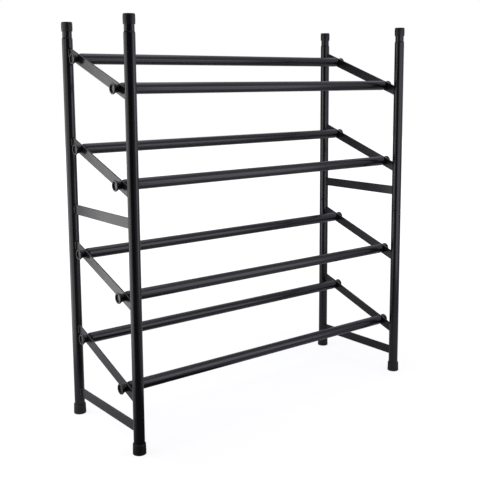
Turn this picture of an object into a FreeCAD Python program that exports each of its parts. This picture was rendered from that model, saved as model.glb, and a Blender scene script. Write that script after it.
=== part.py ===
import FreeCAD, Part
import math
import os

import Sketcher

# A stacking shoe rack of black steel tube: two equal two-tier units, the upper sleeved on the lower.
# Millimetres and degrees. X runs from left to right, Y from front to back and Z up. The origin is on
# the floor, midway between the four posts. Tiers are numbered from the floor up.

SIZES = {
    # Posts: thin round tube, swaged at the top to a neck that the next unit's post slides over
    "post_span_width": 632.0,
    "post_span_depth": 218.0,
    "post_diameter": 19.0,
    "post_wall": 0.7,
    "post_length": 345.3,
    "shoulder_height": 2.2,
    "shoulder_bend": 1.5,
    "neck_length": 25.5,
    "stack_clearance": 0.3,
    "seat_clearance": 0.2,
    # Flat bars, welded between the two posts of an end frame
    "bar_width": 18.0,
    "bar_thickness": 2.5,
    "bar_edge_radius": 0.6,
    "weld_gap": 0.05,
    "cross_bar_height": 40.3,
    "low_tier_height": 126.0,
    "high_tier_drop": 61.3,
    "tier_slope": 20.0,
    # Rails: round tube whose ends are rolled in to a narrow mouth
    "rail_diameter": 19.0,
    "rail_wall": 0.8,
    "rail_offset": 70.0,
    "rail_roll_length": 6.5,
    "rail_lip": 1.4,
    # Plugs: trumpet head with a dish in its face, neck through the bar, slit barb behind the rail's lip
    "plug_neck_diameter": 9.4,
    "plug_clearance": 0.15,
    "plug_waist_diameter": 13.2,
    "plug_waist_length": 1.0,
    "plug_rim_diameter": 19.0,
    "plug_rim_width": 2.5,
    "plug_rim_radius": 1.0,
    "plug_lip": 2.6,
    "plug_lip_radius": 0.3,
    "plug_reach": 11.0,
    "plug_dish_depth": 2.4,
    "plug_dish_radius": 0.5,
    "plug_dish_floor": 2.0,
    "plug_bore_diameter": 6.4,
    "plug_barb_gap": 0.8,
    "plug_barb_step": 0.9,
    "plug_barb_length": 9.0,
    "plug_tip_step": 0.5,
    "plug_slit_width": 1.2,
    # Caps, pushed over the top necks
    "cap_height": 16.5,
    "cap_roof": 1.8,
    "cap_wall": 1.3,
    "cap_bulge": 0.3,
    "cap_edge_radius": 1.4,
    "cap_clearance": 0.2,
    # Feet, pushed on to the lower posts
    "foot_height": 18.5,
    "foot_floor": 3.0,
    "foot_wall": 1.5,
    "foot_flare": 0.4,
    "foot_edge_radius": 1.0,
    "foot_clearance": 0.1,
}

# Sizes that follow from those above, as expressions on the sheet
HALF_WIDTH = "(Sizes.post_span_width / 2)"
HALF_DEPTH = "(Sizes.post_span_depth / 2)"
POST_RADIUS = "(Sizes.post_diameter / 2)"
POST_BORE_RADIUS = f"({POST_RADIUS} - Sizes.post_wall)"
NECK_RADIUS = f"({POST_BORE_RADIUS} - Sizes.stack_clearance)"
NECK_BORE_RADIUS = f"({NECK_RADIUS} - Sizes.post_wall)"
NECK_ROOT = "(Sizes.post_length + Sizes.shoulder_height)"
POST_TOP = f"({NECK_ROOT} + Sizes.neck_length)"
NECK_LEAD_IN = "(Sizes.post_wall / 2)"

# The shoulder's cone meets the straight tube and the neck in bends. A bend takes up this run of tube
# on either side of its corner: along the tube as it is, on the cone split into a drop and a rise.
SHOULDER_STEP = "(Sizes.post_wall + Sizes.stack_clearance)"
SHOULDER_SLANT = f"hypot({SHOULDER_STEP}; Sizes.shoulder_height)"
HALF_BEND_TANGENT = f"(({SHOULDER_SLANT} - Sizes.shoulder_height) / {SHOULDER_STEP})"
WIDE_RUN = f"(Sizes.shoulder_bend * {HALF_BEND_TANGENT})"
TIGHT_RUN = f"((Sizes.shoulder_bend - Sizes.post_wall) * {HALF_BEND_TANGENT})"
CONE_DROP = f"{SHOULDER_STEP} / {SHOULDER_SLANT}"
CONE_RISE = f"Sizes.shoulder_height / {SHOULDER_SLANT}"

# The upper post's bore comes to rest on the shoulder's cone, where the cone is as wide as the bore
SEAT_RISE = "(Sizes.shoulder_height * Sizes.post_wall / (Sizes.post_wall + Sizes.stack_clearance))"
UNIT_PITCH = f"(Sizes.post_length + {SEAT_RISE} + Sizes.seat_clearance)"
LOWER_BASE = "Sizes.foot_floor"
UPPER_BASE = f"({LOWER_BASE} + {UNIT_PITCH})"

HALF_THICKNESS = "(Sizes.bar_thickness / 2)"
PLUG_NECK_RADIUS = "(Sizes.plug_neck_diameter / 2)"
PLUG_HOLE_RADIUS = f"({PLUG_NECK_RADIUS} + Sizes.plug_clearance)"
RAIL_RADIUS = "(Sizes.rail_diameter / 2)"
RAIL_BORE_RADIUS = f"({RAIL_RADIUS} - Sizes.rail_wall)"
RAIL_HALF_LENGTH = f"({HALF_WIDTH} - {HALF_THICKNESS})"
RAIL_RISE = "(Sizes.rail_offset * tan(Sizes.tier_slope))"

# The largest share of a wall that a rounded edge takes, where both its edges or only one is rounded
TWO_EDGE_LIMIT = 0.45
ONE_EDGE_LIMIT = 0.8

FULL_TURN = 360
QUARTER_TURN = 90

SIDES = {"left": -1, "right": 1}
ENDS = {"front": -1, "back": 1}
UNITS = {"lower": LOWER_BASE, "upper": UPPER_BASE}
TIER_HEIGHTS = {
    1: f"({LOWER_BASE} + Sizes.low_tier_height)",
    2: f"({LOWER_BASE} + Sizes.post_length - Sizes.high_tier_drop)",
    3: f"({UPPER_BASE} + Sizes.low_tier_height)",
    4: f"({UPPER_BASE} + Sizes.post_length - Sizes.high_tier_drop)",
}

doc = FreeCAD.newDocument("ShoeRack")
sheet = doc.addObject("Spreadsheet::Sheet", "Sizes")
for row, (size_name, number) in enumerate(SIZES.items(), start=1):
    sheet.set(f"A{row}", size_name)
    sheet.set(f"B{row}", str(number))
    sheet.setAlias(f"B{row}", size_name)
doc.recompute()

pieces = []


def value(expression):
    """The number that an expression has with the sheet's sizes."""
    return float(sheet.evalExpression(expression))


def new_piece(name, x, y, z, turn=0):
    """A body at the place that three expressions give, turned about Z by a number of degrees."""
    body = doc.addObject("PartDesign::Body", name)
    body.Label = name
    body.Placement.Rotation = FreeCAD.Rotation(FreeCAD.Vector(0, 0, 1), turn)
    for axis, expression in zip("xyz", (x, y, z)):
        body.setExpression(f"Placement.Base.{axis}", expression)
    pieces.append(body)
    return body


def new_sketch(body, plane_role, name):
    """An empty sketch on one of the body's own origin planes."""
    plane = next(feature for feature in body.Origin.OriginFeatures if feature.Role == plane_role)
    sketch = body.newObject("Sketcher::SketchObject", name)
    sketch.AttachmentSupport = [(plane, "")]
    sketch.MapMode = "FlatFace"
    return sketch


def bind(sketch, kind, name, expression, *elements):
    """Add a named dimension to a sketch and tie it to an expression."""
    index = sketch.addConstraint(Sketcher.Constraint(kind, *elements, value(expression)))
    sketch.renameConstraint(index, name)
    sketch.setExpression(f"Constraints.{name}", expression)


def arc_between(start, end, corner, alignment):
    """The short arc from start to end whose centre lies level with, or square above, a corner of it.

    Returns the arc and the numbers of its points at start and end (1 begins an arc, 2 ends it).
    """
    other = end if corner == start else start
    gap = other.sub(corner)
    if alignment == "Vertical":
        centre = corner.add(FreeCAD.Vector(0, gap.Length ** 2 / (2 * gap.y), 0))
    else:
        centre = corner.add(FreeCAD.Vector(gap.Length ** 2 / (2 * gap.x), 0, 0))
    angles = [math.atan2(point.y - centre.y, point.x - centre.x) for point in (start, end)]
    circle = Part.Circle(centre, FreeCAD.Vector(0, 0, 1), centre.sub(start).Length)
    if (angles[1] - angles[0]) % (2 * math.pi) < math.pi:
        return Part.ArcOfCircle(circle, angles[0], angles[1]), 1, 2
    return Part.ArcOfCircle(circle, angles[1], angles[0]), 2, 1


def draw_outline(sketch, corners, arcs=None, alignment="Vertical"):
    """Draw a closed outline through named corners, each a pair of expressions.

    arcs maps the corner at which an arc begins to the corner that its centre is aligned with.
    """
    arcs = arcs or {}
    names = list(corners)
    points = {name: FreeCAD.Vector(value(x), value(y), 0) for name, (x, y) in corners.items()}
    starts = []
    ends = []
    for index, name in enumerate(names):
        next_name = names[(index + 1) % len(names)]
        if name in arcs:
            corner = points[arcs[name]]
            edge, first, last = arc_between(points[name], points[next_name], corner, alignment)
            sketch.addGeometry(edge)
            aligned = first if arcs[name] == name else last
            sketch.addConstraint(Sketcher.Constraint(alignment, index, 3, index, aligned))
        else:
            first, last = 1, 2
            sketch.addGeometry(Part.LineSegment(points[name], points[next_name]))
        starts.append(first)
        ends.append(last)
    for index, name in enumerate(names):
        sketch.addConstraint(Sketcher.Constraint("Coincident", index - 1 if index else len(names) - 1,
                                                 ends[index - 1], index, starts[index]))
        x, y = corners[name]
        bind(sketch, "DistanceX", f"{name}_x", x, -1, 1, index, starts[index])
        bind(sketch, "DistanceY", f"{name}_y", y, -1, 1, index, starts[index])


def draw_circle(sketch, name, x, y, radius):
    """Add a circle to a sketch, its centre and radius given by expressions."""
    centre = FreeCAD.Vector(value(x), value(y), 0)
    index = sketch.addGeometry(Part.Circle(centre, FreeCAD.Vector(0, 0, 1), value(radius)))
    bind(sketch, "DistanceX", f"{name}_x", x, -1, 1, index, 3)
    bind(sketch, "DistanceY", f"{name}_y", y, -1, 1, index, 3)
    bind(sketch, "Radius", f"{name}_radius", radius, index)


def revolve(body, sketch, axis):
    """Turn a sketch once round its own axis."""
    turned = body.newObject("PartDesign::Revolution", f"{body.Name}_turned")
    turned.Profile = sketch
    turned.ReferenceAxis = (sketch, [axis])
    turned.Angle = FULL_TURN
    return turned


def cut_through(body, sketch, name, side_type="Symmetric"):
    """Cut a sketch through the body."""
    cut = body.newObject("PartDesign::Pocket", f"{body.Name}_{name}")
    cut.Profile = sketch
    cut.Type = "ThroughAll"
    cut.SideType = side_type
    return cut


def build_post(name, side, end, base):
    """Post tube: straight wall, swaged shoulder with rounded bends, and a neck with a chamfered rim."""
    body = new_piece(name, f"{SIDES[side]} * {HALF_WIDTH}", f"{ENDS[end]} * {HALF_DEPTH}", base)
    profile = new_sketch(body, "XZ_Plane", f"{name}_profile")
    draw_outline(profile, {
        "base_outer": (POST_RADIUS, "0"),
        "shoulder_start": (POST_RADIUS, f"Sizes.post_length - {WIDE_RUN}"),
        "cone_start": (f"{POST_RADIUS} - {WIDE_RUN} * {CONE_DROP}",
                       f"Sizes.post_length + {WIDE_RUN} * {CONE_RISE}"),
        "cone_end": (f"{NECK_RADIUS} + {TIGHT_RUN} * {CONE_DROP}",
                     f"{NECK_ROOT} - {TIGHT_RUN} * {CONE_RISE}"),
        "neck_start": (NECK_RADIUS, f"{NECK_ROOT} + {TIGHT_RUN}"),
        "neck_side": (NECK_RADIUS, f"{POST_TOP} - {NECK_LEAD_IN}"),
        "neck_rim": (f"{NECK_RADIUS} - {NECK_LEAD_IN}", POST_TOP),
        "neck_mouth": (NECK_BORE_RADIUS, POST_TOP),
        "neck_bore": (NECK_BORE_RADIUS, f"{NECK_ROOT} + {WIDE_RUN}"),
        "inner_cone_end": (f"{NECK_BORE_RADIUS} + {WIDE_RUN} * {CONE_DROP}",
                           f"{NECK_ROOT} - {WIDE_RUN} * {CONE_RISE}"),
        "inner_cone_start": (f"{POST_BORE_RADIUS} - {TIGHT_RUN} * {CONE_DROP}",
                             f"Sizes.post_length + {TIGHT_RUN} * {CONE_RISE}"),
        "shoulder_bore": (POST_BORE_RADIUS, f"Sizes.post_length - {TIGHT_RUN}"),
        "base_inner": (POST_BORE_RADIUS, "0"),
    }, arcs={
        "shoulder_start": "shoulder_start",
        "cone_end": "neck_start",
        "neck_bore": "neck_bore",
        "inner_cone_start": "shoulder_bore",
    }, alignment="Horizontal")
    revolve(body, profile, "V_Axis")


def build_bar(name, side, height, slope, has_rails):
    """Flat bar between two posts, its ends coped to the tubes, with a hole for each rail's plug."""
    body = new_piece(name, f"{SIDES[side]} * {HALF_WIDTH}", "0", height)
    rise = f"({HALF_DEPTH} * tan({slope}))"
    half_height = f"(Sizes.bar_width / 2 / cos({slope}))"
    outline = new_sketch(body, "YZ_Plane", f"{name}_outline")
    draw_outline(outline, {
        "front_low": (f"-{HALF_DEPTH}", f"-{rise} - {half_height}"),
        "back_low": (HALF_DEPTH, f"{rise} - {half_height}"),
        "back_high": (HALF_DEPTH, f"{rise} + {half_height}"),
        "front_high": (f"-{HALF_DEPTH}", f"{half_height} - {rise}"),
    })
    strip = body.newObject("PartDesign::Pad", f"{name}_strip")
    strip.Profile = outline
    strip.SideType = "Symmetric"
    strip.setExpression("Length", "Sizes.bar_thickness")
    doc.recompute()

    long_edges = [
        f"Edge{number}"
        for number, edge in enumerate(strip.Shape.Edges, start=1)
        if edge.BoundBox.YLength > value(HALF_DEPTH)
    ]
    rounded = body.newObject("PartDesign::Fillet", f"{name}_edges")
    rounded.Base = (strip, long_edges)
    rounded.setExpression("Radius", f"min(Sizes.bar_edge_radius; {TWO_EDGE_LIMIT} * Sizes.bar_thickness)")

    copes = new_sketch(body, "XY_Plane", f"{name}_cope_circles")
    for end, sign in ENDS.items():
        draw_circle(copes, end, "0", f"{sign} * {HALF_DEPTH}", f"{POST_RADIUS} + Sizes.weld_gap")
    cut_through(body, copes, "copes")

    if has_rails:
        holes = new_sketch(body, "YZ_Plane", f"{name}_hole_circles")
        for end, sign in ENDS.items():
            draw_circle(holes, end, f"{sign} * Sizes.rail_offset", f"{sign} * {RAIL_RISE}", PLUG_HOLE_RADIUS)
        cut_through(body, holes, "holes")


def build_rail(name, end, tier_height):
    """Rail tube between two side bars, each end rolled in to a lip round its mouth."""
    sign = ENDS[end]
    body = new_piece(name, "0", f"{sign} * Sizes.rail_offset", f"{tier_height} + {sign} * {RAIL_RISE}")
    roll_start = f"({RAIL_HALF_LENGTH} - Sizes.rail_roll_length)"
    lip_radius = f"({PLUG_HOLE_RADIUS} + Sizes.rail_lip)"
    profile = new_sketch(body, "XZ_Plane", f"{name}_profile")
    draw_outline(profile, {
        "left_outer": (f"-{roll_start}", RAIL_RADIUS),
        "right_outer": (roll_start, RAIL_RADIUS),
        "right_lip": (RAIL_HALF_LENGTH, lip_radius),
        "right_mouth": (RAIL_HALF_LENGTH, PLUG_HOLE_RADIUS),
        "right_inner": (roll_start, RAIL_BORE_RADIUS),
        "left_inner": (f"-{roll_start}", RAIL_BORE_RADIUS),
        "left_mouth": (f"-{RAIL_HALF_LENGTH}", PLUG_HOLE_RADIUS),
        "left_lip": (f"-{RAIL_HALF_LENGTH}", lip_radius),
    }, arcs={
        "right_outer": "right_outer",
        "right_mouth": "right_inner",
        "left_inner": "left_inner",
        "left_lip": "left_outer",
    })
    revolve(body, profile, "H_Axis")


def build_plug(name, side, end, tier_height):
    """Rail plug, drawn with its axis along X and the bar's outer face at X = 0, head outwards.

    The head's face is dished, and the shank is bored out from its tip to the back of the dish.
    """
    sign = ENDS[end]
    body = new_piece(name, f"{SIDES[side]} * ({HALF_WIDTH} + {HALF_THICKNESS})",
                     f"{sign} * Sizes.rail_offset", f"{tier_height} + {sign} * {RAIL_RISE}",
                     turn=0 if side == "right" else FULL_TURN / 2)
    waist_radius = "(Sizes.plug_waist_diameter / 2)"
    rim_radius = "(Sizes.plug_rim_diameter / 2)"
    bore_radius = "(Sizes.plug_bore_diameter / 2)"
    rim_back = "(Sizes.plug_reach - Sizes.plug_rim_width)"
    mouth_radius = f"({rim_radius} - Sizes.plug_lip)"
    lip_limit = f"{TWO_EDGE_LIMIT} * Sizes.plug_lip"
    dish_limit = f"{TWO_EDGE_LIMIT} * Sizes.plug_dish_depth"
    edge_radius = f"min(Sizes.plug_rim_radius; {lip_limit}; {ONE_EDGE_LIMIT} * Sizes.plug_rim_width)"
    lip_radius = f"min(Sizes.plug_lip_radius; {lip_limit}; {dish_limit})"
    dish_radius = f"min(Sizes.plug_dish_radius; {dish_limit})"
    dish = "(Sizes.plug_reach - Sizes.plug_dish_depth)"
    bore_end = f"({dish} - Sizes.plug_dish_floor)"
    barb_face = "(-Sizes.bar_thickness - Sizes.plug_barb_gap)"
    tip = f"({barb_face} - Sizes.plug_barb_length)"
    profile = new_sketch(body, "XZ_Plane", f"{name}_profile")
    draw_outline(profile, {
        "tip": (tip, f"{PLUG_NECK_RADIUS} - Sizes.plug_tip_step"),
        "barb": (barb_face, f"{PLUG_NECK_RADIUS} + Sizes.plug_barb_step"),
        "barb_root": (barb_face, PLUG_NECK_RADIUS),
        "neck": ("0", PLUG_NECK_RADIUS),
        "seat": ("0", waist_radius),
        "flare": ("Sizes.plug_waist_length", waist_radius),
        "rim_back": (rim_back, rim_radius),
        "rim_side": (f"Sizes.plug_reach - {edge_radius}", rim_radius),
        "lip_outer": ("Sizes.plug_reach", f"{rim_radius} - {edge_radius}"),
        "lip_inner": ("Sizes.plug_reach", f"{mouth_radius} + {lip_radius}"),
        "mouth": (f"Sizes.plug_reach - {lip_radius}", mouth_radius),
        "dish_side": (f"{dish} + {dish_radius}", mouth_radius),
        "dish_edge": (dish, f"{mouth_radius} - {dish_radius}"),
        "dish_centre": (dish, "0"),
        "bore_centre": (bore_end, "0"),
        "bore_edge": (bore_end, bore_radius),
        "bore_mouth": (tip, bore_radius),
    }, arcs={
        "flare": "flare",
        "rim_side": "rim_side",
        "lip_inner": "mouth",
        "dish_side": "dish_side",
    })
    revolve(body, profile, "H_Axis")

    slit = new_sketch(body, "YZ_Plane", f"{name}_slit_outline")
    slit.setExpression("AttachmentOffset.Base.z", "-Sizes.bar_thickness")
    half_slit = "(Sizes.plug_slit_width / 2)"
    draw_outline(slit, {
        "front_low": (f"-{waist_radius}", f"-{half_slit}"),
        "back_low": (waist_radius, f"-{half_slit}"),
        "back_high": (waist_radius, half_slit),
        "front_high": (f"-{waist_radius}", half_slit),
    })
    first_slit = cut_through(body, slit, "slit", side_type="One side")
    slits = body.newObject("PartDesign::PolarPattern", f"{name}_slits")
    slits.Originals = [first_slit]
    slits.Axis = (profile, ["H_Axis"])
    slits.Angle = QUARTER_TURN
    slits.Occurrences = 2
    body.Tip = slits


def build_cap(name, side, end):
    """Push-on cap: a barrel-sided cup whose roof rests on the rim of the neck."""
    cup_depth = "(Sizes.cap_height - Sizes.cap_roof)"
    body = new_piece(name, f"{SIDES[side]} * {HALF_WIDTH}", f"{ENDS[end]} * {HALF_DEPTH}",
                     f"{UPPER_BASE} + {POST_TOP} - {cup_depth}")
    bore = f"({NECK_RADIUS} + Sizes.cap_clearance)"
    belly = f"({bore} + Sizes.cap_wall)"
    side_radius = f"({belly} - Sizes.cap_bulge)"
    mouth_radius = "((Sizes.cap_wall - Sizes.cap_bulge) / 2)"
    profile = new_sketch(body, "XZ_Plane", f"{name}_profile")
    draw_outline(profile, {
        "mouth_inner": (bore, "0"),
        "mouth_edge": (f"{side_radius} - {mouth_radius}", "0"),
        "mouth_side": (side_radius, mouth_radius),
        "belly": (belly, "Sizes.cap_height / 2"),
        "crown_side": (side_radius, "Sizes.cap_height - Sizes.cap_edge_radius"),
        "crown_edge": (f"{side_radius} - Sizes.cap_edge_radius", "Sizes.cap_height"),
        "crown_centre": ("0", "Sizes.cap_height"),
        "roof_centre": ("0", cup_depth),
        "roof_edge": (bore, cup_depth),
    }, arcs={
        "mouth_edge": "mouth_side",
        "mouth_side": "belly",
        "belly": "belly",
        "crown_side": "crown_side",
    }, alignment="Horizontal")
    revolve(body, profile, "V_Axis")


def build_foot(name, side, end):
    """Push-on foot: a cup that flares towards the floor, with the post standing on its floor."""
    body = new_piece(name, f"{SIDES[side]} * {HALF_WIDTH}", f"{ENDS[end]} * {HALF_DEPTH}", "0")
    bore = f"({POST_RADIUS} + Sizes.foot_clearance)"
    top_radius = f"({bore} + Sizes.foot_wall)"
    base_radius = f"({top_radius} + Sizes.foot_flare)"
    rim_radius = f"min(Sizes.foot_edge_radius; {ONE_EDGE_LIMIT} * Sizes.foot_wall)"
    profile = new_sketch(body, "XZ_Plane", f"{name}_profile")
    draw_outline(profile, {
        "base_centre": ("0", "0"),
        "base_edge": (f"{base_radius} - Sizes.foot_edge_radius", "0"),
        "base_side": (base_radius, "Sizes.foot_edge_radius"),
        "rim_side": (top_radius, f"Sizes.foot_height - {rim_radius}"),
        "rim_edge": (f"{top_radius} - {rim_radius}", "Sizes.foot_height"),
        "rim_inner": (bore, "Sizes.foot_height"),
        "pocket_edge": (bore, LOWER_BASE),
        "pocket_centre": ("0", LOWER_BASE),
    }, arcs={
        "base_edge": "base_side",
        "rim_side": "rim_side",
    }, alignment="Horizontal")
    revolve(body, profile, "V_Axis")


# Posts, feet and caps stand at the four corners
for side in SIDES:
    for end in ENDS:
        for unit, base in UNITS.items():
            build_post(f"{unit}_post_{end}_{side}", side, end, base)
        build_foot(f"foot_{end}_{side}", side, end)
        build_cap(f"cap_{end}_{side}", side, end)

# End frames: a level bar near the foot of each unit, and a sloped bar for each tier
for side in SIDES:
    for unit, base in UNITS.items():
        build_bar(f"{unit}_cross_bar_{side}", side, f"{base} + Sizes.cross_bar_height", "0", False)
    for tier, tier_height in TIER_HEIGHTS.items():
        build_bar(f"tier_{tier}_side_bar_{side}", side, tier_height, "Sizes.tier_slope", True)

# Tiers: two rails each, held by a plug at either end
for tier, tier_height in TIER_HEIGHTS.items():
    for end in ENDS:
        build_rail(f"tier_{tier}_rail_{end}", end, tier_height)
        for side in SIDES:
            build_plug(f"tier_{tier}_plug_{end}_{side}", side, end, tier_height)

doc.recompute()

for item in doc.Objects:
    if "Invalid" in item.State or "Error" in item.State:
        raise RuntimeError(f"{item.Name} failed: {item.State}")
for piece in pieces:
    shape = piece.Shape
    if shape.isNull() or not shape.isValid() or len(shape.Solids) != 1:
        raise RuntimeError(f"{piece.Label} is not one valid solid")

os.makedirs("parts", exist_ok=True)
for piece in pieces:
    piece.Shape.exportStep(f"parts/{piece.Label}.step")
print(f"{len(pieces)} pieces written")
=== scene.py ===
"""Looks of the stacking shoe rack: drawn tube, weld beads, finishes and a plain studio."""

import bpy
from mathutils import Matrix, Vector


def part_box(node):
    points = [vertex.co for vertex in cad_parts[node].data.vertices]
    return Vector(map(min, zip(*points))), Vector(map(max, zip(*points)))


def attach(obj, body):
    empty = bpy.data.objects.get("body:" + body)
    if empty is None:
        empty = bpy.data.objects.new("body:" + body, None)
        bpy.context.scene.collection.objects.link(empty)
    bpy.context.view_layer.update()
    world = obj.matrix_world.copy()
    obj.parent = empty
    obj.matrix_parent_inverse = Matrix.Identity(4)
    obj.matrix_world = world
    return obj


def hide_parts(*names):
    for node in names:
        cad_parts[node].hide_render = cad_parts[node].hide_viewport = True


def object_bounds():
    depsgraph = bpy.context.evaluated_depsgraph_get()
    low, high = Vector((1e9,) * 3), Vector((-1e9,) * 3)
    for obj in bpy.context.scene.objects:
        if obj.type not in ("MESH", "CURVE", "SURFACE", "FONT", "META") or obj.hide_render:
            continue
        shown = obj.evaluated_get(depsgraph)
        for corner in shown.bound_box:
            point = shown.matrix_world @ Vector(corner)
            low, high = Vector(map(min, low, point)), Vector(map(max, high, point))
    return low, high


bl_info = {
    "name": "Stacking Shoe Rack",
    "version": (1, 0, 0),
    "blender": (4, 5, 0),
    "location": "View3D > Sidebar > Shoe Rack",
    "description": "Dresses the shoe rack's fixed frame with tubes, welds, finishes and a studio",
    "category": "Object",
}

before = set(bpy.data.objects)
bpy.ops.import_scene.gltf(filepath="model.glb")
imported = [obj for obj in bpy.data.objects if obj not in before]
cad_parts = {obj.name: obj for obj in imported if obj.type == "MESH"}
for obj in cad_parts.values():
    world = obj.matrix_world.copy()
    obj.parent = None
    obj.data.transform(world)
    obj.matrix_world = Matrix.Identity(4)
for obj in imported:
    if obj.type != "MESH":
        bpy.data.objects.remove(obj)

import math
import random
from typing import NamedTuple

import bmesh
import bpy
from bpy.props import FloatProperty, FloatVectorProperty, IntProperty, PointerProperty
from mathutils import Matrix, Vector

CAD_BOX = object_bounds()
MM = 0.001

SIDES = ("left", "right")
ENDS = ("front", "back")
UNIT_OF_TIER = {1: "lower", 2: "lower", 3: "upper", 4: "upper"}
BODY_OF_UNIT = {"lower": "lower_unit", "upper": "upper_unit"}

# Sizes that the frame already holds
POST_LOW, POST_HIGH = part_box("lower_post_front_left")
POST_DIAMETER = POST_HIGH.x - POST_LOW.x
RAIL_LOW, RAIL_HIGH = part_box("tier_1_rail_front")
RAIL_LENGTH = RAIL_HIGH.x - RAIL_LOW.x
BAR_LOW, BAR_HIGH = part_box("lower_cross_bar_left")
BAR_THICKNESS = BAR_HIGH.x - BAR_LOW.x
BAR_WIDTH = BAR_HIGH.z - BAR_LOW.z

# Faces that meet at less than this angle are shaded as one smooth surface
SMOOTH_BELOW = math.radians(40)

# Steps that draw a small bend of a post's wall, and the rolled end of a rail
BEND_STEPS = 5
ROLL_STEPS = 8

# A straight run longer than the first length is held flat by points this far from its ends
LONG_RUN = 6.4 * MM
HOLD_MARGIN = 0.8 * MM

# Weld beads: facets round a bead, steps along each ripple, the shares by which its width strays
# and by which it narrows between ripples, how soon its ends round off, and the seed of its strays
BEAD_FACETS = 12
STEPS_PER_RIPPLE = 6
BEAD_STRAY = 0.1
RIPPLE_DIP = 0.12
END_ROUNDING = 3.2
WELD_SEED = 19

# Coat, plastic and rubber all bend light about as much
POLYMER_IOR = 1.5

# Octaves of the patches and the grains of a finish, and where nearly all of the noise lies
MOTTLE_DETAIL = 2.0
GRAIN_DETAIL = 1.0
NOISE_LOW, NOISE_HIGH = 0.3, 0.7


def linear_rgb(hex_colour):
    """An sRGB hex colour as linear red, green and blue."""
    channels = [int(hex_colour[start:start + 2], 16) / 255 for start in (1, 3, 5)]
    return tuple(c / 12.92 if c <= 0.04045 else ((c + 0.055) / 1.055) ** 2.4 for c in channels)


def add_node(tree, kind, settings=None, inputs=None):
    """Add a shader node with its settings; an input takes a value or another node's output."""
    node = tree.nodes.new(kind)
    for name, value in (settings or {}).items():
        setattr(node, name, value)
    for name, value in (inputs or {}).items():
        if isinstance(value, bpy.types.NodeSocket):
            tree.links.new(value, node.inputs[name])
        else:
            node.inputs[name].default_value = value
    return node


class RackSizes(bpy.types.PropertyGroup):
    """Sizes of the tube ends and weld beads that the looks add to the frame."""

    tube_facets: IntProperty(
        name="Tube facets", description="Flat strips round each tube", default=72, min=24, max=144)
    post_wall: FloatProperty(
        name="Post wall", description="Thickness of the post tube's wall",
        default=0.7 * MM, unit="LENGTH", subtype="DISTANCE", precision=5)
    stack_clearance: FloatProperty(
        name="Stack clearance",
        description="Gap all round between a neck and the post sleeved over it",
        default=0.3 * MM, unit="LENGTH", subtype="DISTANCE", precision=5)
    shoulder_height: FloatProperty(
        name="Shoulder height", description="Length over which a post narrows to its neck",
        default=2.2 * MM, unit="LENGTH", subtype="DISTANCE", precision=5)
    neck_length: FloatProperty(
        name="Neck length", description="Straight length of the narrowed top of a post",
        default=25.5 * MM, unit="LENGTH", subtype="DISTANCE", precision=5)
    swage_bend: FloatProperty(
        name="Swage bend", description="Outer radius of the two bends of the shoulder",
        default=1.5 * MM, unit="LENGTH", subtype="DISTANCE", precision=5)
    cut_edge: FloatProperty(
        name="Cut edge", description="Radius that the coat leaves on a cut tube end",
        default=0.25 * MM, unit="LENGTH", subtype="DISTANCE", precision=5)
    rail_wall: FloatProperty(
        name="Rail wall", description="Thickness of the rail tube's wall",
        default=0.8 * MM, unit="LENGTH", subtype="DISTANCE", precision=5)
    rail_roll: FloatProperty(
        name="Rail roll", description="Length over which a rail's end is rolled in",
        default=6.5 * MM, unit="LENGTH", subtype="DISTANCE", precision=5)
    rail_mouth: FloatProperty(
        name="Rail mouth", description="Diameter of the hole left at a rail's rolled end",
        default=9.7 * MM, unit="LENGTH", subtype="DISTANCE", precision=5)
    rail_lip: FloatProperty(
        name="Rail lip", description="Width of the flat lip round a rail's mouth",
        default=1.4 * MM, unit="LENGTH", subtype="DISTANCE", precision=5)
    weld_leg: FloatProperty(
        name="Weld leg", description="How far a weld bead spreads on the bar and on the post",
        default=2.1 * MM, unit="LENGTH", subtype="DISTANCE", precision=5)
    weld_ripple: FloatProperty(
        name="Weld ripple", description="Distance from one ripple of a weld bead to the next",
        default=2.4 * MM, unit="LENGTH", subtype="DISTANCE", precision=5)
    weld_margin: FloatProperty(
        name="Weld margin", description="Length of joint left bare beyond each end of a bead",
        default=1.6 * MM, unit="LENGTH", subtype="DISTANCE", precision=5)


class RackFinish(bpy.types.PropertyGroup):
    """Colours of the coat and the moulded pieces."""

    coat_deep: FloatVectorProperty(
        name="Coat, deep", description="Darker shade of the powder coat",
        subtype="COLOR", size=3, min=0, max=1, default=linear_rgb("#0b0b0c"))
    coat_pale: FloatVectorProperty(
        name="Coat, pale", description="Paler shade of the powder coat",
        subtype="COLOR", size=3, min=0, max=1, default=linear_rgb("#111113"))
    plug_deep: FloatVectorProperty(
        name="Plug, deep", description="Darker shade of the rail plugs",
        subtype="COLOR", size=3, min=0, max=1, default=linear_rgb("#0c0c0d"))
    plug_pale: FloatVectorProperty(
        name="Plug, pale", description="Paler shade of the rail plugs",
        subtype="COLOR", size=3, min=0, max=1, default=linear_rgb("#151516"))
    cap_deep: FloatVectorProperty(
        name="Cap, deep", description="Darker shade of the caps",
        subtype="COLOR", size=3, min=0, max=1, default=linear_rgb("#08080a"))
    cap_pale: FloatVectorProperty(
        name="Cap, pale", description="Paler shade of the caps",
        subtype="COLOR", size=3, min=0, max=1, default=linear_rgb("#0f0f11"))
    foot_deep: FloatVectorProperty(
        name="Foot, deep", description="Darker shade of the feet",
        subtype="COLOR", size=3, min=0, max=1, default=linear_rgb("#0a0a0b"))
    foot_pale: FloatVectorProperty(
        name="Foot, pale", description="Paler shade of the feet",
        subtype="COLOR", size=3, min=0, max=1, default=linear_rgb("#131314"))


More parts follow.
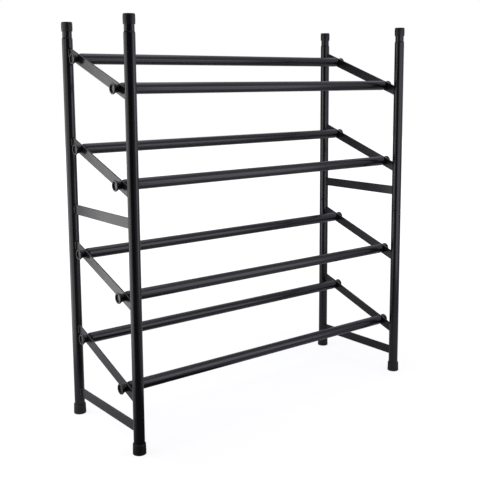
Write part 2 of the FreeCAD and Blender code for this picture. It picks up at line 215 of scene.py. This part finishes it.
class RackStage(bpy.types.PropertyGroup):
    """Camera, floor and studio."""

    lens: FloatProperty(
        name="Lens", description="Focal length on a 36 mm wide sensor",
        unit="CAMERA", default=60.24)
    camera_place: FloatVectorProperty(
        name="Camera place", description="Where the camera stands",
        subtype="TRANSLATION", unit="LENGTH", size=3, default=(-0.9648, -1.2241, 0.6178))
    camera_yaw: FloatProperty(
        name="Camera yaw", description="Turn of the view from the back direction towards the right",
        subtype="ANGLE", default=math.radians(37.834))
    camera_pitch: FloatProperty(
        name="Camera pitch", description="How far the view looks down",
        subtype="ANGLE", default=math.radians(7.806))
    camera_roll: FloatProperty(
        name="Camera roll", description="Turn of the camera about its view",
        subtype="ANGLE", default=math.radians(0.369))
    camera_shift: FloatProperty(
        name="Camera shift", description="Shift of the frame up or down, as a share of its width",
        default=-0.1)
    floor_colour: FloatVectorProperty(
        name="Floor", description="Colour of the studio floor",
        subtype="COLOR", size=3, min=0, max=1, default=linear_rgb("#ebebeb"))
    light_level: FloatProperty(
        name="Light level", description="Factor on the power of every softbox",
        default=1.0, min=0.0)


def grained_material(
        name, deep, pale, mottle_mm, grain_mm, grain_depth_mm, roughness, roughness_spread):
    """An opaque surface whose shade, gloss and relief vary over patches and grains."""
    material = bpy.data.materials.new(name)
    material.use_nodes = True
    tree = material.node_tree
    tree.nodes.clear()
    place = add_node(tree, "ShaderNodeTexCoord").outputs["Object"]
    mottle = add_node(tree, "ShaderNodeTexNoise", inputs={
        "Vector": place, "Scale": 1 / (mottle_mm * MM), "Detail": MOTTLE_DETAIL})
    grain = add_node(tree, "ShaderNodeTexNoise", inputs={
        "Vector": place, "Scale": 1 / (grain_mm * MM), "Detail": GRAIN_DETAIL})
    shade = add_node(tree, "ShaderNodeMix", {"data_type": "RGBA"}, {
        "Factor": mottle.outputs["Fac"], "A": (*deep, 1.0), "B": (*pale, 1.0)})
    gloss = add_node(tree, "ShaderNodeMapRange", inputs={
        "Value": mottle.outputs["Fac"], "From Min": NOISE_LOW, "From Max": NOISE_HIGH,
        "To Min": roughness - roughness_spread, "To Max": roughness + roughness_spread})
    relief = add_node(tree, "ShaderNodeBump", inputs={
        "Height": grain.outputs["Fac"], "Distance": grain_depth_mm * MM})
    surface = add_node(tree, "ShaderNodeBsdfPrincipled", inputs={
        "Base Color": shade.outputs["Result"], "Roughness": gloss.outputs["Result"],
        "Normal": relief.outputs["Normal"], "IOR": POLYMER_IOR})
    add_node(tree, "ShaderNodeOutputMaterial", inputs={"Surface": surface.outputs["BSDF"]})
    return material


def satin_powder_coat(finish):
    """Polyester powder, sprayed on steel and baked.

    The grains melt and level out, but not wholly: a deep black with clear reflections that waver
    a little. Its orange peel is drawn as it is, about 2.5 mm from crest to crest.
    """
    name = "Satin black powder coat"
    return bpy.data.materials.get(name) or grained_material(
        name, finish.coat_deep, finish.coat_pale, mottle_mm=60, grain_mm=2.5, grain_depth_mm=0.03,
        roughness=0.21, roughness_spread=0.03)


def moulded_polypropylene(finish):
    """Polypropylene, injection moulded in a spark-finished tool.

    A plain black with a soft sheen. Its grain of about 0.2 mm is drawn at 0.9 mm, or it wouldn't
    show.
    """
    return grained_material(
        "Moulded black polypropylene", finish.plug_deep, finish.plug_pale, mottle_mm=9,
        grain_mm=0.9, grain_depth_mm=0.01, roughness=0.24, roughness_spread=0.04)


def moulded_pvc(finish):
    """Soft PVC, moulded over a core: a matt black whose sheen breaks up in a fine grain.

    The grain of about 0.3 mm is drawn at 1.1 mm, or it wouldn't show.
    """
    return grained_material(
        "Moulded black soft PVC", finish.cap_deep, finish.cap_pale, mottle_mm=12, grain_mm=1.1,
        grain_depth_mm=0.04, roughness=0.42, roughness_spread=0.05)


def moulded_rubber(finish):
    """Rubber, press moulded: nearly no sheen, a slightly blotchy black.

    The pores of about 0.3 mm are drawn at 1.2 mm, or they wouldn't show.
    """
    return grained_material(
        "Moulded black rubber", finish.foot_deep, finish.foot_pale, mottle_mm=14, grain_mm=1.2,
        grain_depth_mm=0.06, roughness=0.56, roughness_spread=0.06)


def round_corners(corners):
    """Points of a closed outline of (radius, height, bend) corners, each corner bent to an arc."""
    points = []
    for index, (radius, height, bend) in enumerate(corners):
        corner = Vector((radius, height))
        to_last = (Vector(corners[index - 1][:2]) - corner).normalized()
        to_next = (Vector(corners[(index + 1) % len(corners)][:2]) - corner).normalized()
        half_angle = to_last.angle(to_next) / 2
        centre = corner + (to_last + to_next).normalized() * bend / math.sin(half_angle)
        first_arm = corner + to_last * bend / math.tan(half_angle) - centre
        sweep = (math.pi - 2 * half_angle) * math.copysign(1, to_last.cross(to_next))
        for step in range(BEND_STEPS + 1):
            points.append(centre + Matrix.Rotation(-sweep * step / BEND_STEPS, 2) @ first_arm)
    return points


def rolled_arc(start, end):
    """Points of (radius, height) on the arc from start to end that leaves start along the axis."""
    across = end[0] - start[0]
    along = end[1] - start[1]
    bend = (across ** 2 + along ** 2) / (2 * across)
    turn = math.asin(along / abs(bend))
    points = []
    for step in range(ROLL_STEPS + 1):
        angle = turn * step / ROLL_STEPS
        radius = start[0] + bend * (1 - math.cos(angle))
        height = start[1] + abs(bend) * math.sin(angle)
        points.append(Vector((radius, height)))
    return points


def hold_flats(points):
    """Add points near both ends of long straight runs, so that smooth shading keeps them flat."""
    held = []
    for index, point in enumerate(points):
        following = points[(index + 1) % len(points)]
        run = following - point
        held.append(point)
        if run.length > LONG_RUN:
            held.append(point + run.normalized() * HOLD_MARGIN)
            held.append(following - run.normalized() * HOLD_MARGIN)
    return held


def turned_shape(outline, facets, place):
    """A closed shape: an outline of (radius, height) points turned about Z, then put in place."""
    shape = bmesh.new()
    rings = []
    for radius, height in outline:
        ring = []
        for facet in range(facets):
            angle = 2 * math.pi * facet / facets
            spot = Vector((radius * math.cos(angle), radius * math.sin(angle), height))
            ring.append(shape.verts.new(place @ spot))
        rings.append(ring)
    for index, ring in enumerate(rings):
        last_ring = rings[index - 1]
        for facet in range(facets):
            shape.faces.new((last_ring[facet - 1], last_ring[facet], ring[facet], ring[facet - 1]))
    return shape


def add_piece(name, shape, material, body, slot, *replaced):
    """Make a finished shape a piece of the rack that rides on a body and may stand for solids."""
    bmesh.ops.recalc_face_normals(shape, faces=shape.faces)
    mesh = bpy.data.meshes.new(name)
    shape.to_mesh(mesh)
    shape.free()
    mesh.shade_smooth()
    mesh.set_sharp_from_angle(angle=SMOOTH_BELOW)
    mesh.materials.append(material)
    piece = bpy.data.objects.new(name, mesh)
    bpy.context.scene.collection.objects.link(piece)
    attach(piece, body)
    if replaced:
        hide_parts(*replaced)
    return piece


def coat_solid(node, material):
    """Give one of the frame's own solids a finish."""
    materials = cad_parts[node].data.materials
    materials.clear()
    materials.append(material)


def post_outline(sizes):
    """Outline of a post's wall: straight tube, swaged shoulder and neck, from its base up."""
    outer = POST_DIAMETER / 2
    bore = outer - sizes.post_wall
    neck = bore - sizes.stack_clearance
    neck_bore = neck - sizes.post_wall
    top = POST_HIGH.z - POST_LOW.z
    neck_root = top - sizes.neck_length
    shoulder = neck_root - sizes.shoulder_height
    inner_bend = sizes.swage_bend - sizes.post_wall
    return hold_flats(round_corners([
        (outer, 0.0, sizes.cut_edge),
        (outer, shoulder, sizes.swage_bend),
        (neck, neck_root, inner_bend),
        (neck, top, sizes.cut_edge),
        (neck_bore, top, sizes.cut_edge),
        (neck_bore, neck_root, sizes.swage_bend),
        (bore, shoulder, inner_bend),
        (bore, 0.0, sizes.cut_edge),
    ]))


def rail_outline(sizes):
    """Outline of a rail's wall, its ends rolled in to a lip round the mouth."""
    outer = (RAIL_HIGH.z - RAIL_LOW.z) / 2
    bore = outer - sizes.rail_wall
    mouth = sizes.rail_mouth / 2
    half_length = RAIL_LENGTH / 2
    roll_start = half_length - sizes.rail_roll
    right_end = rolled_arc((outer, roll_start), (mouth + sizes.rail_lip, half_length))
    right_end += reversed(rolled_arc((bore, roll_start), (mouth, half_length)))
    left_end = [Vector((point.x, -point.y)) for point in reversed(right_end)]
    return hold_flats(right_end + left_end)


class SHOE_RACK_OT_draw_posts(bpy.types.Operator):
    """Stand a finely drawn tube, with its swaged neck, in place of each post"""

    bl_idname = "shoe_rack.draw_posts"
    bl_label = "Draw posts"

    def execute(self, context):
        sizes = context.scene.rack_sizes
        coat = satin_powder_coat(context.scene.rack_finish)
        outline = post_outline(sizes)
        for unit, body in BODY_OF_UNIT.items():
            for end in ENDS:
                for side in SIDES:
                    node = f"{unit}_post_{end}_{side}"
                    low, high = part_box(node)
                    centre = (low + high) / 2
                    place = Matrix.Translation((centre.x, centre.y, low.z))
                    shape = turned_shape(outline, sizes.tube_facets, place)
                    add_piece(f"{node}_tube", shape, coat, body, "powder_coated_tube", node)
        return {"FINISHED"}


class SHOE_RACK_OT_draw_rails(bpy.types.Operator):
    """Lay a finely drawn tube with rolled-in ends in place of each rail"""

    bl_idname = "shoe_rack.draw_rails"
    bl_label = "Draw rails"

    def execute(self, context):
        sizes = context.scene.rack_sizes
        coat = satin_powder_coat(context.scene.rack_finish)
        outline = rail_outline(sizes)
        along_rail = Matrix.Rotation(math.radians(90), 4, "Y")
        for tier, unit in UNIT_OF_TIER.items():
            body = BODY_OF_UNIT[unit]
            for end in ENDS:
                node = f"tier_{tier}_rail_{end}"
                low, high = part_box(node)
                place = Matrix.Translation((low + high) / 2) @ along_rail
                shape = turned_shape(outline, sizes.tube_facets, place)
                add_piece(f"{node}_tube", shape, coat, body, "powder_coated_tube", node)
        return {"FINISHED"}


class SHOE_RACK_OT_coat_bars(bpy.types.Operator):
    """Powder coat the flat bars of the end frames"""

    bl_idname = "shoe_rack.coat_bars"
    bl_label = "Coat bars"

    def execute(self, context):
        coat = satin_powder_coat(context.scene.rack_finish)
        for side in SIDES:
            for unit in BODY_OF_UNIT:
                coat_solid(f"{unit}_cross_bar_{side}", coat)
            for tier in UNIT_OF_TIER:
                coat_solid(f"tier_{tier}_side_bar_{side}", coat)
        return {"FINISHED"}


def add_bead(shape, foot, top, leg, ripple, chance):
    """Add a weld bead to a shape: a rippled cord sunk in the corner that runs from foot to top."""
    angles = [2 * math.pi * facet / BEAD_FACETS for facet in range(BEAD_FACETS)]
    ripples = max(1, round((top - foot).length / ripple))
    steps = ripples * STEPS_PER_RIPPLE
    swell = [1 + chance.uniform(-BEAD_STRAY, BEAD_STRAY) for _ in range(ripples + 1)]
    rings = []
    for step in range(1, steps):
        share = step / steps
        crest = 1 - RIPPLE_DIP * (1 - math.cos(2 * math.pi * step / STEPS_PER_RIPPLE)) / 2
        rounded_end = min(1.0, END_ROUNDING * math.sqrt(share * (1 - share)))
        ripple_index, step_in_ripple = divmod(step, STEPS_PER_RIPPLE)
        last_swell, next_swell = swell[ripple_index:ripple_index + 2]
        bulge = last_swell + (next_swell - last_swell) * step_in_ripple / STEPS_PER_RIPPLE
        radius = leg * crest * rounded_end * bulge
        centre = foot.lerp(top, share)
        rings.append([
            shape.verts.new(centre + Vector((math.cos(angle), math.sin(angle), 0)) * radius)
            for angle in angles
        ])
    for last_ring, ring in zip(rings, rings[1:]):
        for facet in range(BEAD_FACETS):
            shape.faces.new((last_ring[facet - 1], last_ring[facet], ring[facet], ring[facet - 1]))
    for tip, ring in ((foot, rings[0]), (top, rings[-1])):
        point = shape.verts.new(tip)
        for facet in range(BEAD_FACETS):
            shape.faces.new((ring[facet - 1], ring[facet], point))


def bar_line(bar, plugs):
    """Height of a bar's centre line midway between the posts, and its climb per metre of depth."""
    low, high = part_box(bar)
    if not plugs:
        return (low.z + high.z) / 2, 0.0
    front, back = [(a + b) / 2 for a, b in (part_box(plug) for plug in plugs)]
    return (front.z + back.z) / 2, (back.z - front.z) / (back.y - front.y)


class SHOE_RACK_OT_lay_welds(bpy.types.Operator):
    """Lay a weld bead in each corner between a flat bar and a post"""

    bl_idname = "shoe_rack.lay_welds"
    bl_label = "Lay welds"

    def execute(self, context):
        sizes = context.scene.rack_sizes
        coat = satin_powder_coat(context.scene.rack_finish)
        chance = random.Random(WELD_SEED)
        for side in SIDES:
            for unit, body in BODY_OF_UNIT.items():
                self.weld_bar(f"{unit}_cross_bar_{side}", (), body, sizes, coat, chance)
            for tier, unit in UNIT_OF_TIER.items():
                bar = f"tier_{tier}_side_bar_{side}"
                plugs = [f"tier_{tier}_plug_{end}_{side}" for end in ENDS]
                self.weld_bar(bar, plugs, BODY_OF_UNIT[unit], sizes, coat, chance)
        return {"FINISHED"}

    @staticmethod
    def weld_bar(bar, plugs, body, sizes, coat, chance):
        """Weld both faces of a bar's two ends to the posts."""
        low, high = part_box(bar)
        middle, climb = bar_line(bar, plugs)
        half_height = BAR_WIDTH / 2 * math.hypot(1, climb) - sizes.weld_margin
        post_depth = abs(POST_LOW.y + POST_HIGH.y) / 2
        half_chord = math.sqrt((POST_DIAMETER / 2) ** 2 - (BAR_THICKNESS / 2) ** 2)
        corner_depth = post_depth - half_chord
        shape = bmesh.new()
        for depth in (-corner_depth, corner_depth):
            height = middle + climb * depth
            for face in (low.x, high.x):
                foot = Vector((face, depth, height - half_height))
                top = Vector((face, depth, height + half_height))
                add_bead(shape, foot, top, sizes.weld_leg, sizes.weld_ripple, chance)
        add_piece(f"{bar}_welds", shape, coat, body, "powder_coated_bar")


class SHOE_RACK_OT_finish_plugs(bpy.types.Operator):
    """Give the rail plugs their moulded finish"""

    bl_idname = "shoe_rack.finish_plugs"
    bl_label = "Finish plugs"

    def execute(self, context):
        plastic = moulded_polypropylene(context.scene.rack_finish)
        for tier in UNIT_OF_TIER:
            for end in ENDS:
                for side in SIDES:
                    coat_solid(f"tier_{tier}_plug_{end}_{side}", plastic)
        return {"FINISHED"}


class SHOE_RACK_OT_finish_caps(bpy.types.Operator):
    """Give the caps their moulded finish"""

    bl_idname = "shoe_rack.finish_caps"
    bl_label = "Finish caps"

    def execute(self, context):
        plastic = moulded_pvc(context.scene.rack_finish)
        for end in ENDS:
            for side in SIDES:
                coat_solid(f"cap_{end}_{side}", plastic)
        return {"FINISHED"}


class SHOE_RACK_OT_finish_feet(bpy.types.Operator):
    """Give the feet their moulded finish"""

    bl_idname = "shoe_rack.finish_feet"
    bl_label = "Finish feet"

    def execute(self, context):
        rubber = moulded_rubber(context.scene.rack_finish)
        for end in ENDS:
            for side in SIDES:
                coat_solid(f"foot_{end}_{side}", rubber)
        return {"FINISHED"}


class Softbox(NamedTuple):
    """A rectangular lamp: where it stands, what it faces, its size in metres and its power.

    lights_rails says whether the rails get its light and mirror it, as the other pieces do.
    """

    name: str
    place: tuple
    target: tuple
    width: float
    height: float
    watts: float
    colour: tuple
    lights_rails: bool = True


WHITE = (1.0, 1.0, 1.0)
COOL_WHITE = (0.97, 0.97, 1.10)
SOFTBOXES = (
    Softbox("overhead_softbox", place=(0.0, 0.2, 2.4), target=(0.0, 0.0, 0.0),
            width=2.2, height=1.6, watts=10.0, colour=COOL_WHITE),
    Softbox("left_back_panel", place=(-0.65, 0.52, 0.44), target=(0.0, 0.52, 0.44),
            width=0.38, height=0.88, watts=2.25, colour=WHITE, lights_rails=False),
    Softbox("left_front_panel", place=(-0.65, 0.10, 0.44), target=(0.0, 0.10, 0.44),
            width=0.46, height=0.88, watts=1.45, colour=WHITE, lights_rails=False),
    Softbox("front_right_softbox", place=(0.28, -0.55, 0.45), target=(0.28, 0.0, 0.45),
            width=0.60, height=0.70, watts=1.65, colour=COOL_WHITE),
)

# Half the floor sheet's width in metres; its fibres, drawn at 8 mm to show, and their contrast
FLOOR_REACH = 6.0
FIBRE_MM = 8
FIBRE_CONTRAST = 0.04

# The floor is white to the camera, but shows this share of its own shaded tone within the near
# distance of the rack's middle and none beyond the far one. The level makes up for that share.
SHADOW_SHARE = 0.28
SHADOW_NEAR = 0.40
SHADOW_FAR = 1.2
WHITE_LEVEL = 1.16

# The room as the rack mirrors it: dim on the left, paler on the right, dark on the camera's side.
# An edge is where a side starts to show and where it shows in full, as cosines from its middle.
PALE_SIDE = Vector((0.90, -0.20, 0.38))
PALE_EDGE = (-0.50, 0.80)
LEFT_LEVEL = 0.15
RIGHT_LEVEL = 0.60
CAMERA_SIDE = Vector((-0.62, -0.78, 0.0))
DARK_EDGE = (0.40, 0.80)
DARK_LEVEL = 0.06

# The floor in those reflections, its colour dimmed by painted shade and darkest on the camera's
# side too
MIRRORED_FLOOR = 0.66
FLOOR_PAINTED_SHADE_SIDE = Vector((-0.75, -0.66, 0.0))
FLOOR_PAINTED_SHADE_EDGE = (0.75, 0.97)

# The room's even light on matt surfaces
FILL = 0.5


def side_mask(tree, direction, side, edge, low, high):
    """A factor that goes smoothly from low to high as a direction turns to one side of the room."""
    turned = add_node(tree, "ShaderNodeVectorMath", {"operation": "DOT_PRODUCT"}, {
        0: direction, 1: side})
    mask = add_node(tree, "ShaderNodeMapRange", {"interpolation_type": "SMOOTHSTEP"}, {
        "Value": turned.outputs["Value"], "From Min": edge[0], "From Max": edge[1],
        "To Min": low, "To Max": high})
    return mask.outputs["Result"]


def is_mirrored(tree, path):
    """1 for a ray that comes from a reflection or through something clear, otherwise 0."""
    mirrored = add_node(tree, "ShaderNodeMath", {"operation": "MAXIMUM"}, {
        0: path.outputs["Is Glossy Ray"], 1: path.outputs["Is Transmission Ray"]})
    return mirrored.outputs["Value"]


def pale_floor(stage):
    """Matt paper sheet: white to the camera, with the rack's soft shadow kept near its feet, and in
    reflections its colour dimmed by painted shade.
    """
    material = bpy.data.materials.new("Pale studio paper")
    material.use_nodes = True
    tree = material.node_tree
    tree.nodes.clear()
    place = add_node(tree, "ShaderNodeTexCoord").outputs["Object"]
    path = add_node(tree, "ShaderNodeLightPath")
    distance = add_node(tree, "ShaderNodeVectorMath", {"operation": "LENGTH"}, {0: place})
    whiteness = add_node(tree, "ShaderNodeMapRange", {"interpolation_type": "SMOOTHSTEP"}, {
        "Value": distance.outputs["Value"], "From Min": SHADOW_NEAR, "From Max": SHADOW_FAR,
        "To Min": 1 - SHADOW_SHARE, "To Max": 1.0})
    white_share = add_node(tree, "ShaderNodeMath", {"operation": "MULTIPLY"}, {
        0: path.outputs["Is Camera Ray"], 1: whiteness.outputs["Result"]})
    bearing = add_node(tree, "ShaderNodeVectorMath", {"operation": "NORMALIZE"}, {0: place})
    # Painted shade: in reflections the paper's colour is dimmed, most on the camera's side
    painted_mirror_shade = side_mask(
        tree, bearing.outputs["Vector"], FLOOR_PAINTED_SHADE_SIDE, FLOOR_PAINTED_SHADE_EDGE,
        MIRRORED_FLOOR, DARK_LEVEL)
    painted_mirror_dimming = add_node(tree, "ShaderNodeMix", inputs={
        "Factor": is_mirrored(tree, path), "A": 1.0, "B": painted_mirror_shade})
    fibres = add_node(tree, "ShaderNodeTexNoise", inputs={
        "Vector": place, "Scale": 1 / (FIBRE_MM * MM)})
    tone = add_node(tree, "ShaderNodeMath", {"operation": "MULTIPLY_ADD"}, {
        0: fibres.outputs["Fac"], 1: FIBRE_CONTRAST, 2: 1 - FIBRE_CONTRAST})
    shade = add_node(tree, "ShaderNodeMath", {"operation": "MULTIPLY"}, {
        0: tone.outputs["Value"], 1: painted_mirror_dimming.outputs["Result"]})
    paper = add_node(tree, "ShaderNodeMix", {"data_type": "RGBA", "blend_type": "MULTIPLY"}, {
        "Factor": 1.0, "A": (*stage.floor_colour, 1.0), "B": shade.outputs["Value"]})
    matt = add_node(tree, "ShaderNodeBsdfDiffuse", inputs={"Color": paper.outputs["Result"]})
    white = add_node(tree, "ShaderNodeEmission", inputs={"Strength": WHITE_LEVEL})
    mixed = add_node(tree, "ShaderNodeMixShader", inputs={
        "Fac": white_share.outputs["Value"], 1: matt.outputs["BSDF"], 2: white.outputs["Emission"]})
    add_node(tree, "ShaderNodeOutputMaterial", inputs={"Surface": mixed.outputs["Shader"]})
    return material


def studio_world():
    """White backdrop for the camera, even fill, and the studio's pale and dark sides in mirrors."""
    world = bpy.data.worlds.new("Studio")
    world.use_nodes = True
    tree = world.node_tree
    tree.nodes.clear()
    direction = add_node(tree, "ShaderNodeTexCoord").outputs["Generated"]
    path = add_node(tree, "ShaderNodeLightPath")
    paleness = side_mask(tree, direction, PALE_SIDE, PALE_EDGE, LEFT_LEVEL, RIGHT_LEVEL)
    darkening = side_mask(tree, direction, CAMERA_SIDE, DARK_EDGE, 1.0, DARK_LEVEL)
    room = add_node(tree, "ShaderNodeMath", {"operation": "MULTIPLY"}, {0: paleness, 1: darkening})
    unseen = add_node(tree, "ShaderNodeMix", inputs={
        "Factor": is_mirrored(tree, path), "A": FILL, "B": room.outputs["Value"]})
    level = add_node(tree, "ShaderNodeMix", inputs={
        "Factor": path.outputs["Is Camera Ray"], "A": unseen.outputs["Result"], "B": 1.0})
    tint = add_node(tree, "ShaderNodeMix", {"data_type": "RGBA"}, {
        "Factor": path.outputs["Is Camera Ray"], "A": (*COOL_WHITE, 1.0), "B": (*WHITE, 1.0)})
    glow = add_node(tree, "ShaderNodeBackground", inputs={
        "Color": tint.outputs["Result"], "Strength": level.outputs["Result"]})
    add_node(tree, "ShaderNodeOutputWorld", inputs={"Surface": glow.outputs["Background"]})
    return world


def shade_rails(holder):
    """Keep a side lamp off the rails, which would mirror it all along when they are seen end on."""
    shaded = bpy.data.collections.new(f"{holder.name}_shaded")
    for tier in UNIT_OF_TIER:
        for end in ENDS:
            shaded.objects.link(bpy.data.objects[f"tier_{tier}_rail_{end}_tube"])
    for member in shaded.collection_objects:
        member.light_linking.link_state = "EXCLUDE"
    holder.light_linking.receiver_collection = shaded


class SHOE_RACK_OT_set_stage(bpy.types.Operator):
    """Lay the floor, hang the softboxes and set up the camera"""

    bl_idname = "shoe_rack.set_stage"
    bl_label = "Set stage"

    def execute(self, context):
        scene = context.scene
        stage = scene.rack_stage
        scene.view_settings.view_transform = "Standard"
        scene.world = studio_world()
        self.lay_floor(scene, stage)
        for softbox in SOFTBOXES:
            self.hang_softbox(scene, softbox, stage.light_level)
        self.set_camera(scene, stage)
        return {"FINISHED"}

    @staticmethod
    def lay_floor(scene, stage):
        """A wide paper sheet under the feet."""
        shape = bmesh.new()
        bmesh.ops.create_grid(shape, x_segments=1, y_segments=1, size=FLOOR_REACH)
        mesh = bpy.data.meshes.new("studio_floor")
        shape.to_mesh(mesh)
        shape.free()
        mesh.materials.append(pale_floor(stage))
        floor = bpy.data.objects.new("studio_floor", mesh)
        floor.location.z = CAD_BOX[0].z
        scene.collection.objects.link(floor)

    @staticmethod
    def hang_softbox(scene, softbox, light_level):
        """An area lamp that the camera doesn't see, turned to its target."""
        lamp = bpy.data.lights.new(softbox.name, "AREA")
        lamp.shape = "RECTANGLE"
        lamp.size = softbox.width
        lamp.size_y = softbox.height
        lamp.energy = softbox.watts * light_level
        lamp.color = softbox.colour
        holder = bpy.data.objects.new(softbox.name, lamp)
        holder.location = softbox.place
        aim = Vector(softbox.target) - Vector(softbox.place)
        holder.rotation_euler = aim.to_track_quat("-Z", "Y").to_euler()
        holder.visible_camera = False
        scene.collection.objects.link(holder)
        if not softbox.lights_rails:
            shade_rails(holder)

    @staticmethod
    def set_camera(scene, stage):
        """The photograph's viewpoint."""
        yaw, pitch, roll = stage.camera_yaw, stage.camera_pitch, stage.camera_roll
        level_ahead = Vector((math.sin(yaw), math.cos(yaw), 0.0))
        ahead = level_ahead * math.cos(pitch) - Vector((0.0, 0.0, math.sin(pitch)))
        level_right = Vector((math.cos(yaw), -math.sin(yaw), 0.0))
        level_up = level_right.cross(ahead)
        right = level_right * math.cos(roll) - level_up * math.sin(roll)
        up = level_up * math.cos(roll) + level_right * math.sin(roll)
        data = bpy.data.cameras.new("camera")
        data.lens = stage.lens
        data.shift_y = stage.camera_shift
        camera = bpy.data.objects.new("camera", data)
        turn = Matrix((right, up, -ahead)).transposed().to_4x4()
        camera.matrix_world = Matrix.Translation(stage.camera_place) @ turn
        scene.collection.objects.link(camera)
        scene.camera = camera


GROUPS = {"rack_sizes": RackSizes, "rack_finish": RackFinish, "rack_stage": RackStage}
OPERATORS = (
    SHOE_RACK_OT_draw_posts,
    SHOE_RACK_OT_draw_rails,
    SHOE_RACK_OT_coat_bars,
    SHOE_RACK_OT_lay_welds,
    SHOE_RACK_OT_finish_plugs,
    SHOE_RACK_OT_finish_caps,
    SHOE_RACK_OT_finish_feet,
    SHOE_RACK_OT_set_stage,
)


class SHOE_RACK_PT_sidebar(bpy.types.Panel):
    """Sizes, colours and steps of the shoe rack"""

    bl_idname = "SHOE_RACK_PT_sidebar"
    bl_label = "Shoe Rack"
    bl_space_type = "VIEW_3D"
    bl_region_type = "UI"
    bl_category = "Shoe Rack"

    def draw(self, context):
        for group_name, group in GROUPS.items():
            settings = getattr(context.scene, group_name)
            column = self.layout.box().column()
            for setting in group.__annotations__:
                column.prop(settings, setting)
        for operator in OPERATORS:
            self.layout.operator(operator.bl_idname)


def register():
    for group_name, group in GROUPS.items():
        bpy.utils.register_class(group)
        setattr(bpy.types.Scene, group_name, PointerProperty(type=group))
    for operator in OPERATORS:
        bpy.utils.register_class(operator)
    bpy.utils.register_class(SHOE_RACK_PT_sidebar)


def unregister():
    bpy.utils.unregister_class(SHOE_RACK_PT_sidebar)
    for operator in reversed(OPERATORS):
        bpy.utils.unregister_class(operator)
    for group_name, group in GROUPS.items():
        delattr(bpy.types.Scene, group_name)
        bpy.utils.unregister_class(group)


def main():
    register()
    bpy.ops.shoe_rack.draw_posts()
    bpy.ops.shoe_rack.draw_rails()
    bpy.ops.shoe_rack.coat_bars()
    bpy.ops.shoe_rack.lay_welds()
    bpy.ops.shoe_rack.finish_plugs()
    bpy.ops.shoe_rack.finish_caps()
    bpy.ops.shoe_rack.finish_feet()
    bpy.ops.shoe_rack.set_stage()


if __name__ == "__main__":
    main()
